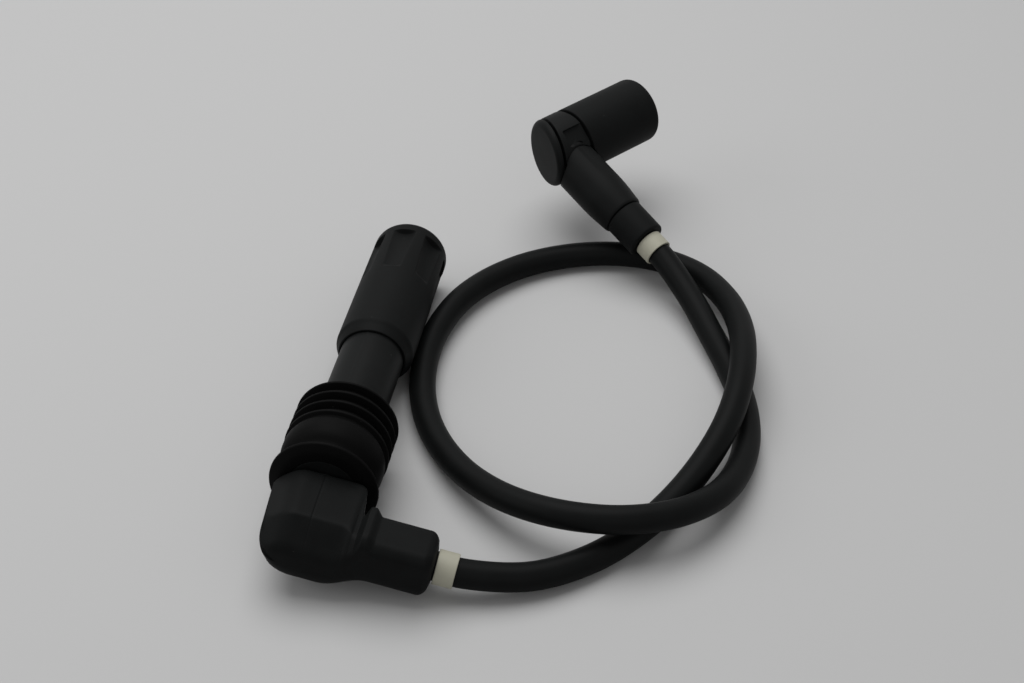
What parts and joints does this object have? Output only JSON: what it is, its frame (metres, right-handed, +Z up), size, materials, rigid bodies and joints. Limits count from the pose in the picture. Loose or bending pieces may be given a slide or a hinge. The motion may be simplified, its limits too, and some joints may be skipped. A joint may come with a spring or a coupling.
{
  "type": "spark plug wire",
  "caption": "Ignition lead with a right-angle plug connector and ribbed seal at one end, a looped stiff lead and a right-angle coil cap at the other.",
  "frame": {"origin": "middle of the box of the two connectors in X and Y, on the plane that the part lies on", "axes": "+Z up, +Y along the plug connector from its elbow to its open end"},
  "size_m": [0.1149, 0.1914, 0.0368],
  "materials": {
    "elbow_rubber": "moulded, dull satin",
    "seal_rubber": "moulded, soft, dull",
    "phenolic": "moulded, satin",
    "sleeve_rubber": "moulded, matt",
    "brass": "nickel plated, bright",
    "spring_steel": "drawn wire",
    "ceramic": "fired, unglazed",
    "cap_plastic": "moulded, satin",
    "lead_jacket": "extruded, satin",
    "band": "off-white, matt"
  },
  "bodies": {
    "root": {"plug_elbow": "elbow_rubber", "plug_seal": "seal_rubber", "plug_barrel": "phenolic", "plug_sleeve": "sleeve_rubber", "coil_boot": "sleeve_rubber", "coil_grommet": "sleeve_rubber", "plug_contact": "brass", "plug_resistor_cap_rear": "brass", "plug_resistor_cap_front": "brass", "plug_terminal": "brass", "coil_terminal": "brass", "coil_contact": "brass", "plug_spring": "spring_steel", "plug_terminal_ring": "spring_steel", "coil_terminal_ring": "spring_steel", "plug_resistor": "ceramic", "coil_cap": "cap_plastic", "coil_lid": "cap_plastic", "lead": "lead_jacket", "band_plug": "band", "band_coil": "band"}
  },
  "joints": []
}
